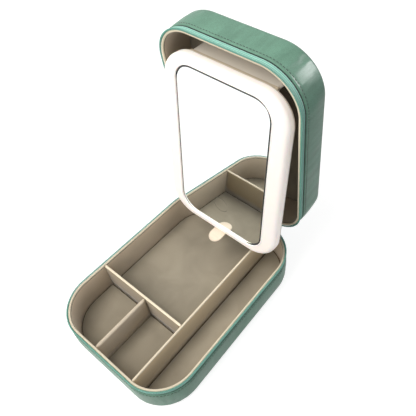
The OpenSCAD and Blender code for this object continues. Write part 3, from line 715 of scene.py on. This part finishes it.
def side_outline(x0, x1, half_l, radius, inset):
    """Outline of the side well's pad: straight along the divider, which cuts off the tray's bends.

    Each bend starts just past its first point, so that the small corner before it keeps its own end.
    """
    left, r = x0 + inset, radius - inset
    centre = (x1 - radius, half_l - radius)
    cut = math.acos((left + LEAST_R - centre[0]) / r)
    rise = centre[1] + r * math.sin(cut)
    half = arc((left + LEAST_R, rise - LEAST_R), LEAST_R, 180, 90, CORNER_STEPS)
    half += arc(centre, r, 0.97 * math.degrees(cut), 0, CORNER_STEPS)
    return [(x, -y) for x, y in half] + half[::-1]


def panel(outline_at, low, high, crown):
    """A thin cushion: crowned face, a sewn channel near its edge, and rounded edges."""
    thick = high - low
    profile = (
        # Underside and bulged side
        (6 * MM, low), (0.5 * MM, low), (0.1 * MM, low + 0.15 * thick), (0, low + 0.45 * thick),
        (0.25 * MM, low + 0.8 * thick),
        # Rounded edge and sewn channel
        (0.9 * MM, high - 0.05 * MM), (1.6 * MM, high), (2.6 * MM, high - 0.05 * MM),
        # Crown
        (4.5 * MM, high + 0.2 * crown), (8 * MM, high + 0.5 * crown), (13 * MM, high + 0.8 * crown),
        (17 * MM, high + crown))
    rings = []
    for inset, z in profile:
        outline, ring = outline_at(inset), []
        for i, (x, y) in enumerate(outline):
            next_x, next_y = outline[(i + 1) % len(outline)]
            parts = SIDE_STEPS if i % (CORNER_STEPS + 1) == CORNER_STEPS else 1
            ring += [(x + (next_x - x) * k / parts, y + (next_y - y) * k / parts, z) for k in range(parts)]
        rings.append(ring)
    return loft(rings)


class VANITY_OT_pads(bpy.types.Operator):
    """Builds the floor pads and the padded panel on the lid's back"""
    bl_idname = "vanity.pads"
    bl_label = "Floor and lid pads"

    def execute(self, context):
        big, soft, gap, crown, ease = CORNER - WALL_AT - PAD_IN, 2.5 * MM, 0.5 * MM, 0.1 * MM, 0.1 * MM
        right, back = INNER_W - PAD_IN, INNER_L - PAD_IN
        long_left, long_right = LONG_X - BOARD - gap, LONG_X + gap
        near, far = CROSS_Y - gap, CROSS_Y + BOARD + gap
        fields = (
            lambda inset: panel_outline(-right, long_left, -back, near, (big, soft, soft, soft), inset),
            lambda inset: panel_outline(-right, long_left, far, back, (soft, soft, soft, big), inset),
            lambda inset: side_outline(long_right, right, back, big, inset))
        low, high = FLOOR + ease, PAD_TOP - ease
        pad = piece("floor_cushions", joined([panel(field, low, high, crown) for field in fields]), "pad",
                    "base", replaces=["floor_pad"])
        # Dark cords round each pad: painted shadow in the gap at the feet of the walls and dividers
        cords, cord_r, cord_in, cord_z = [], 0.42 * MM, 0.35 * MM, high - 0.2 * MM
        for field in fields:
            line = [(*p, cord_z) for p in field(cord_in)]
            cords.append(tube_along(line + line[:1], cord_r, capped=False))
        piece("floor_edge_shadow_cords", joined(cords), "seam", "base")
        on_back = panel(lambda inset: panel_outline(-right, right, -back, back, (big,) * 4, inset),
                        low, high, crown)
        lid_pad = piece("lid_back_cushion", on_back, "pad", "lid", LID_FROM_BACK,
                        ["lid_back_pad"])
        return {"FINISHED"}


def board(length, height, thick, steps, crown=0.0, round_ends=False):
    """A divider that stands on z = 0 along +Y from the origin, rounded along its top edge."""
    half = thick / 2
    levels = (0, height * 0.3, height * 0.65, height - half)
    section = [(-half, z) for z in levels] + arc((0, height - half), half, 150, 30, 4)
    section += [(half, z) for z in reversed(levels)]
    swell = [math.copysign(crown * math.sin(math.pi * z / height), x) for x, z in section]
    # The square of how thin a round end may get
    least, rings = 0.12, []
    for t in [i / steps for i in range(steps + 1)]:
        squeeze, full = 1.0, math.sin(math.pi * t) ** 0.5
        if round_ends:
            from_end = min(1, min(t, 1 - t) * length / half)
            squeeze = math.sqrt(max(least, 1 - (1 - from_end) ** 2))
        rings.append([(x * squeeze + out * full, length * t, z) for (x, z), out in zip(section, swell)])
    return loft(rings)


class VANITY_OT_dividers(bpy.types.Operator):
    """Builds the two fixed dividers and the loose padded one"""
    bl_idname = "vanity.dividers"
    bl_label = "Dividers"

    def execute(self, context):
        # The boards' feet stand between the pads, below their tops
        foot, top, half, reach = PAD_TOP - 0.6 * MM, BASE_H - DIVIDER_DROP, BOARD / 2, INNER_L - 0.15 * MM
        along_x = Matrix.Rotation(-math.pi / 2, 4, "Z")
        piece("long_divider_board", board(2 * reach, top - foot, BOARD, 40), "divider", "base",
              shift(LONG_X - half, -reach, foot), ["long_divider"])
        cross_end = LONG_X - BOARD
        piece("cross_divider_board", board(INNER_W + cross_end, top - foot, BOARD, 24), "cross_divider",
              "base", shift(-INNER_W, CROSS_Y + half, foot) @ along_x, ["cross_divider"])
        # The bindings lie over the boards' tops and stand a little proud of their sides
        binding_z, binding_r, steps = top - half + 0.05 * MM, half + 0.08 * MM, 40
        for name, start, end in (
                ("long", (LONG_X - half, -reach, binding_z), (LONG_X - half, reach, binding_z)),
                ("cross", (-INNER_W, CROSS_Y + half, binding_z), (cross_end, CROSS_Y + half, binding_z))):
            line = [Vector(start).lerp(Vector(end), i / steps) for i in range(steps + 1)]
            piece(f"{name}_divider_binding", tube_along(line, binding_r, sides=16), f"{name}_binding",
                  "base")
        front, back = -INNER_L + LOOSE_GAP, CROSS_Y - LOOSE_GAP
        low, high, crown = PAD_TOP + LOOSE_GAP, BASE_H - SOFT_DROP, 0.6 * MM
        padded = board(back - front, high - low, SOFT_T - 2 * crown, 30, crown, round_ends=True)
        soft = piece("padded_divider", padded, "soft_divider", "loose_divider",
                     shift(SOFT_X, front, low), ["short_divider"])
        return {"FINISHED"}


# Zip and spine

def coil_turns(start, end, pitch, out, up, radius, wire_r):
    """The zip's nylon coil: a wire wound round a cord, along the outline."""
    per_turn, line = 8, []
    steps = int((end - start) / pitch) * per_turn
    for i in range(steps + 1):
        (x, y), (nx, ny), _ = CASE.at(start + (end - start) * i / steps)
        a = TURN * i / per_turn
        u, z = out + radius * math.cos(a), up + radius * math.sin(a)
        line.append((x + nx * u, y + ny * u, z))
    return tube_along(line, wire_r, sides=4)


def tape_section(low, high):
    """Section of a zip tape: a flat back, and a face with two woven-in ribs."""
    back, face, edge, steps = -1.2 * MM, -0.85 * MM, -0.8 * MM, 24
    rib, rib_width_share, rib_shares = 0.5 * MM, 0.1, (0.28, 0.72)
    section = [(back, low), (edge, low)]
    for t in [i / steps for i in range(steps + 1)]:
        swell = sum(max(0, 1 - abs(t - share) / rib_width_share) for share in rib_shares)
        section.append((face + rib * swell ** 0.5, low + (high - low) * t))
    return section + [(back, high)]


class VANITY_OT_zip(bpy.types.Operator):
    """Builds both halves of the zip: ribbed tape with its cords, and the wound coil on its core"""
    bl_idname = "vanity.zip"
    bl_label = "Zip"

    def execute(self, context):
        pitch, straight, steps = context.scene.vanity_sizes.tooth_pitch, HALF_W - CORNER, 300
        # Both halves run on a little past the bends, and the base's one further, under the slider
        past, under_slider = 1 * MM, 4 * MM
        tape_foot, tape_top, cord_out, cord_r = 1.3 * MM, 0.9 * MM, -0.75 * MM, 0.3 * MM
        cord_shares = (0.14, 0.5, 0.86)
        out, sunk, wound_r, wire_r, core_r = -0.35 * MM, 0.05 * MM, 0.7 * MM, 0.27 * MM, 0.52 * MM
        for body, rim, place, before in (("base", BASE_H, BASE, under_slider),
                                         ("lid", 0.0, LID_FROM_RIM, past)):
            start, end = straight - before, CASE.length - straight + past
            stops = [start + (end - start) * i / steps for i in range(steps + 1)]
            low, high = rim - ZIP_BAND + tape_foot, rim - tape_top
            tape = swept(CASE, tape_section(low, high), stops, closed=False)
            piece(f"{body}_tape", tape, "tape", body, place, [f"{body}_zip_tape"])
            cords = [swept(CASE, cord_section(cord_out, low + (high - low) * share, cord_r), stops,
                           closed=False) for share in cord_shares]
            piece(f"{body}_tape_cords", joined(cords), "tape_cord", body, place)
            wound = coil_turns(start, end, pitch, out, rim - sunk, wound_r, wire_r)
            core = swept(CASE, cord_section(out, rim - sunk, core_r), stops, closed=False)
            piece(f"{body}_coil", joined([wound, core]), "coil", body, place,
                  [f"{body}_zip_coil"])
        return {"FINISHED"}


def strip(path, half_w, thick, middle=0.0, steps=10):
    """A flat strip across the case that follows a path of (y, z) points."""
    xs = [middle - half_w + 2 * half_w * k / steps for k in range(steps + 1)]
    rings, last = [], len(path) - 1
    for i, p in enumerate(path):
        along = (Vector(path[min(i + 1, last)]) - Vector(path[max(i - 1, 0)])).normalized()
        half = Vector((-along.y, along.x)) * thick / 2
        over, under = Vector(p) + half, Vector(p) - half
        rings.append([(x, *over) for x in xs] + [(x, *under) for x in reversed(xs)])
    return loft(rings)


def finer(path, step):
    """The path with points no further apart than the step."""
    found = [path[0]]
    for a, b in zip(path, path[1:]):
        parts = max(1, math.ceil(math.dist(a, b) / step))
        found += [(a[0] + (b[0] - a[0]) * k / parts, a[1] + (b[1] - a[1]) * k / parts)
                  for k in range(1, parts + 1)]
    return found


def rolled(section, half_w):
    """A section of (y, z) points, drawn out across the case."""
    return loft([[(x, y, z) for y, z in section] for x in (-half_w, -half_w / 2, 0, half_w / 2, half_w)])


class VANITY_OT_spine(bpy.types.Operator):
    """Builds the leather hinge spine: a leaf on each wall and the rolled fold between them"""
    bl_idname = "vanity.spine"
    bl_label = "Leather spine"

    def execute(self, context):
        sizes = context.scene.vanity_sizes
        half, thick, step = 26 * MM, 1.2 * MM, 2 * MM
        wall = HALF_L + thick / 2
        # The base's leaf lies on the wall from its foot to its bend, and then runs out to the fold
        foot, bend, leave_out, leave_z, core_r = 14 * MM, 31 * MM, 0.3 * MM, 33.5 * MM, 1.7 * MM
        base_path = [(wall, foot), (wall, bend), (wall + leave_out, leave_z), (HINGE_Y, HINGE_Z)]
        core = rolled(arc((HINGE_Y, HINGE_Z), core_r, 0, 360, 16)[:-1], half)
        piece("base_spine_leaf", joined([strip(finer(base_path, step), half, thick), core]), "base_leather",
              "base", replaces=["base_spine"])
        upper, sewn = LID_D - LID_EDGE - thick, 13.5 * MM
        lid_path = [(wall, upper), (wall, upper - sewn), (HINGE_Y, LID_HINGE_Z)]
        # The lid's leaf ends in a sleeve round the core, open where the base's leaf swings in it
        outer, inner, swing_from, spare, steps = 3.0 * MM, 1.8 * MM, 256.2, 34.0, 20
        first = swing_from + LID_OPEN + spare
        last = swing_from + 360 - spare
        fold = (HINGE_Y, LID_HINGE_Z)
        sleeve = rolled(arc(fold, outer, first, last, steps) + arc(fold, inner, last, first, steps), half)
        piece("lid_spine_leaf", joined([strip(finer(lid_path, step)[:-1], half, thick), sleeve]),
              "base_leather", "lid", LID, ["lid_spine"])
        # Rows of stitches run all round each leaf. The row at its bend has a place of its own
        pitch, arm, radius, sunk = sizes.stitch_pitch, sizes.stitch_length / 2, 0.28 * MM, 0.08 * MM
        base_bend_row, lid_bend_row = bend - 1 * MM, upper - sewn + 1.5 * MM
        margin, row_start, stray = 1.4 * MM, 1.6 * MM, 0.05 * MM
        chance, out = random.Random(sizes.seed), wall + thick / 2 - sunk
        for body, place, low, high in (("base", BASE, foot + margin, base_bend_row),
                                       ("lid", LID, lid_bend_row, upper - margin)):
            parts = []
            for z in (low, high):
                for i in range(int((2 * half - row_start - margin) / pitch) + 1):
                    x = -half + row_start + i * pitch + chance.uniform(-1, 1) * stray
                    parts.append(stitch((x - arm, out, z), (x + arm, out, z), radius))
            for x in (-half + margin, half - margin):
                for z in [low + i * pitch for i in range(1, int((high - low) / pitch))]:
                    parts.append(stitch((x, out, z - arm), (x, out, z + arm), radius))
            piece(f"{body}_spine_stitches", joined(parts), "thread", body, place)
        return {"FINISHED"}


# Hanger, tab and mirror

class VANITY_OT_hanger(bpy.types.Operator):
    """Builds the hanger strap between lid and mirror, with a rod sewn in at each end"""
    bl_idname = "vanity.hanger"
    bl_label = "Hanger"

    def execute(self, context):
        # The mirror's rod in the lid's frame
        (y, z), tilt = ROD_IN_MIRROR, math.radians(MIRROR_TILT)
        rod_on_mirror = (MIRROR_Y + y * math.cos(tilt) + z * math.sin(tilt),
                         z * math.cos(tilt) - y * math.sin(tilt) + MIRROR_Z)
        thick, step, rod_r, parts = 0.9 * MM, 1 * MM, 0.98 * MM, 10
        path = finer([ROD_IN_LID, rod_on_mirror], step)
        web = piece("hanger_web", strip(path, HANGER_W / 2, thick, HANGER_X, 2 * parts), "strap",
                    "hanger", LID, ["hanger_strap"])
        across = [HANGER_X - HANGER_W / 2 + HANGER_W * i / parts for i in range(parts + 1)]
        rods = [tube_along([(x, *rod) for x in across], rod_r, sides=14)
                for rod in (ROD_IN_LID, rod_on_mirror)]
        piece("hanger_rods", joined(rods), "strap", "hanger", LID)
        return {"FINISHED"}


class VANITY_OT_tab(bpy.types.Operator):
    """Builds the half-round cloth tab that the mirror is pulled out by"""
    bl_idname = "vanity.tab"
    bl_label = "Pull tab"

    def execute(self, context):
        tab_y, root, half_w, front, lift = 103.1 * MM, 4 * MM, 8.25 * MM, -16.5 * MM, 4 * MM
        centre = front + half_w
        shape = [(half_w, root)] + arc((0, centre), half_w, 0, -180, 18) + [(-half_w, root)]
        rings = []
        # Through the tab, in mm: how far off its middle each layer lies, and how far it is drawn in
        for off, inset in ((0.35, 2.0), (0.8, 1.4), (0.8, 0.6), (0.5, 0.1), (0.0, 0.0), (-0.5, 0.1),
                           (-0.8, 0.6), (-0.8, 1.4), (-0.35, 2.0)):
            scale, ring = 1 - inset * MM / half_w, []
            for x, z in shape:
                z = centre + (z - centre) * scale if z <= centre else z
                # The tab curls towards its free end
                curl = lift * max(0, (root - z) / (root - front)) ** 1.5
                ring.append((x * scale, tab_y + off * MM + curl, z))
            rings.append(ring)
        piece("pull_tab_cloth", loft(rings), "tab", "mirror", MIRROR, ["pull_tab"])
        return {"FINISHED"}


def seal_size(s, bend, out, up):
    """The seal is thin at the left, and wide and proud above and at the right of the glass."""
    normal_x, normal_y = GLASS_RIM.at(s)[1]
    wide, left = min(1, max(0, normal_x, -normal_y)), max(0, -normal_x)
    width_share = 0.05 + 0.4 * left + 1.9 * wide
    rise_share = 0.05 + 0.2 * left + 1.85 * wide
    return out * width_share, -up * rise_share


class VANITY_OT_mirror(bpy.types.Operator):
    """Adds the glass's dark seal and the etched ring of its touch switch"""
    bl_idname = "vanity.mirror"
    bl_label = "Mirror details"

    def execute(self, context):
        seal = [(out * MM, up * MM) for out, up in ((0.1, 0), (0.1, 1), (-0.5, 1), (-0.8, 0.8), (-0.9, 0))]
        piece("glass_seal", swept(GLASS_RIM, seal, GLASS_RIM.stops(ROUND_STEP), wobble=seal_size),
              "edge", "mirror", MIRROR)
        ring_y, ring_r, line_r, proud = 61 * MM, 9.5 * MM, 0.3 * MM, -0.01 * MM
        halves = []
        for start, end in ((25, 165), (205, 335)):
            line = [(x, y, proud) for x, y in arc((0, ring_y), ring_r, start, end, 24)]
            halves.append(tube_along(line, line_r, flat=0.15))
        piece("touch_ring", joined(halves), "etched", "mirror", MIRROR)
        return {"FINISHED"}


# Stage

# Each lamp's name, place, aim, side, watts and colour, and whether it lights matt faces too. The last
# one only shines back from gloss, as a strip light set low behind the lid would
LAMPS = (("key_softbox", (-0.3, -0.55, 1.45), (0, 0, 0.08), 0.8, 15.0, "#fffaf2", True),
         ("front_softbox", (-0.15, -1.3, 1.2), (0, 0.1, 0.2), 0.7, 8.0, "#fffcf6", True),
         ("rim_softbox", (0.75, 1.0, 0.75), (0.08, 0.1, 0.25), 0.45, 34.0, "#ffffff", False))
# The camera as it was fitted to the photograph: place, degrees round and above the box, roll and lens
CAMERA_AT = (229.4 * MM, -155.0 * MM, 491.35 * MM)
CAMERA_AROUND, CAMERA_ABOVE, CAMERA_ROLL = 37.56, 46.75, -0.51
CAMERA_LENS, CAMERA_SHIFT = 39.74, (-0.1252, -0.0922)
WHITE = linear("#ffffff")


def seen_directly(tree):
    """A node that is 1 for what the camera, gloss or glass sees, and 0 for what only gives light."""
    rays = add(tree, "LightPath").outputs
    shiny = add(tree, "Math", {0: rays["Is Camera Ray"], 1: rays["Is Glossy Ray"]}, operation="MAXIMUM")
    return add(tree, "Math", {0: shiny, 1: rays["Is Transmission Ray"]}, operation="MAXIMUM")


def lay_floor(scene):
    """Paper that shows nearly white, keeps the box's shadow, and throws back no more light than grey."""
    paper = bpy.data.materials.new("studio_paper")
    paper.use_nodes = True
    tree = paper.node_tree
    tree.nodes.clear()
    grey = add(tree, "BsdfDiffuse", {"Color": linear("#a9a9a8")})
    glow = add(tree, "Emission", {"Color": WHITE, "Strength": 0.84})
    both = add(tree, "AddShader", {0: grey, 1: glow})
    add(tree, "OutputMaterial", {0: add(tree, "MixShader", {0: seen_directly(tree), 1: grey, 2: both})})
    half, drop = 3.0, 0.5 * MM
    mesh = bpy.data.meshes.new("floor")
    mesh.from_pydata([(-half, -half, 0), (half, -half, 0), (half, half, 0), (-half, half, 0)], [],
                     [(0, 1, 2, 3)])
    mesh.materials.append(paper)
    floor = bpy.data.objects.new("floor", mesh)
    floor.location.z = -drop
    scene.collection.objects.link(floor)


def fill_world(scene):
    """A white surround that lights the box softly."""
    scene.world = bpy.data.worlds.new("studio")
    scene.world.use_nodes = True
    tree = scene.world.node_tree
    tree.nodes.clear()
    soft = add(tree, "Background", {"Color": linear("#f6f7f9"), "Strength": 0.42})
    plain = add(tree, "Background", {"Color": WHITE, "Strength": 1.0})
    add(tree, "OutputWorld", {0: add(tree, "MixShader", {0: seen_directly(tree), 1: soft, 2: plain})})


def hang_lamps(scene):
    """Three square softboxes."""
    for name, place, aim, side, watts, colour, lights_matt in LAMPS:
        lamp = bpy.data.lights.new(name, "AREA")
        lamp.shape, lamp.size, lamp.energy, lamp.color = "SQUARE", side, watts, linear(colour)
        holder = bpy.data.objects.new(name, lamp)
        holder.location = place
        holder.visible_diffuse = lights_matt
        holder.rotation_euler = (Vector(aim) - Vector(place)).to_track_quat("-Z", "Y").to_euler()
        scene.collection.objects.link(holder)


def set_camera(scene):
    """The photograph's camera."""
    around, above, roll = (math.radians(a) for a in (CAMERA_AROUND, CAMERA_ABOVE, CAMERA_ROLL))
    right = Vector((math.cos(around), math.sin(around), 0))
    level = Vector((math.sin(around), -math.cos(around), 0))
    back = level * math.cos(above) + UP * math.sin(above)
    up = back.cross(right)
    right, up = right * math.cos(roll) + up * math.sin(roll), up * math.cos(roll) - right * math.sin(roll)
    camera = bpy.data.cameras.new("photo_camera")
    camera.sensor_width, camera.lens, camera.clip_start = 36.0, CAMERA_LENS, 10 * MM
    camera.shift_x, camera.shift_y = CAMERA_SHIFT
    eye = bpy.data.objects.new("photo_camera", camera)
    eye.matrix_world = shift(*CAMERA_AT) @ Matrix((right, up, back)).transposed().to_4x4()
    scene.collection.objects.link(eye)
    scene.camera = eye


class VANITY_OT_stage(bpy.types.Operator):
    """Sets the pale floor, the studio light and the camera"""
    bl_idname = "vanity.stage"
    bl_label = "Stage"

    def execute(self, context):
        for step in (lay_floor, fill_world, hang_lamps, set_camera):
            step(context.scene)
        context.scene.view_settings.view_transform = "Standard"
        return {"FINISHED"}


class VANITY_PT_panel(bpy.types.Panel):
    """Lists the box's sizes, colours and build steps"""
    bl_label = "Vanity box"
    bl_idname = "VANITY_PT_panel"
    bl_space_type = "VIEW_3D"
    bl_region_type = "UI"
    bl_category = "Vanity box"

    def draw(self, context):
        layout, scene = self.layout, context.scene
        for group in (scene.vanity_sizes, scene.vanity_colours):
            column = layout.column(align=True)
            for key in group.__annotations__:
                column.prop(group, key)
        for step in STEPS:
            layout.operator(step.bl_idname)


STEPS = (VANITY_OT_finishes, VANITY_OT_shells, VANITY_OT_linings, VANITY_OT_pads, VANITY_OT_dividers,
         VANITY_OT_zip, VANITY_OT_spine, VANITY_OT_hanger, VANITY_OT_tab, VANITY_OT_mirror, VANITY_OT_stage)
CLASSES = (VanityBoxSizes, VanityBoxColours, *STEPS, VANITY_PT_panel)


def register():
    for item in CLASSES:
        bpy.utils.register_class(item)
    bpy.types.Scene.vanity_sizes = PointerProperty(type=VanityBoxSizes)
    bpy.types.Scene.vanity_colours = PointerProperty(type=VanityBoxColours)


def unregister():
    del bpy.types.Scene.vanity_sizes
    del bpy.types.Scene.vanity_colours
    for item in reversed(CLASSES):
        bpy.utils.unregister_class(item)


def main():
    register()
    for step in STEPS:
        group, name = step.bl_idname.split(".")
        getattr(getattr(bpy.ops, group), name)()


if __name__ == "__main__":
    main()
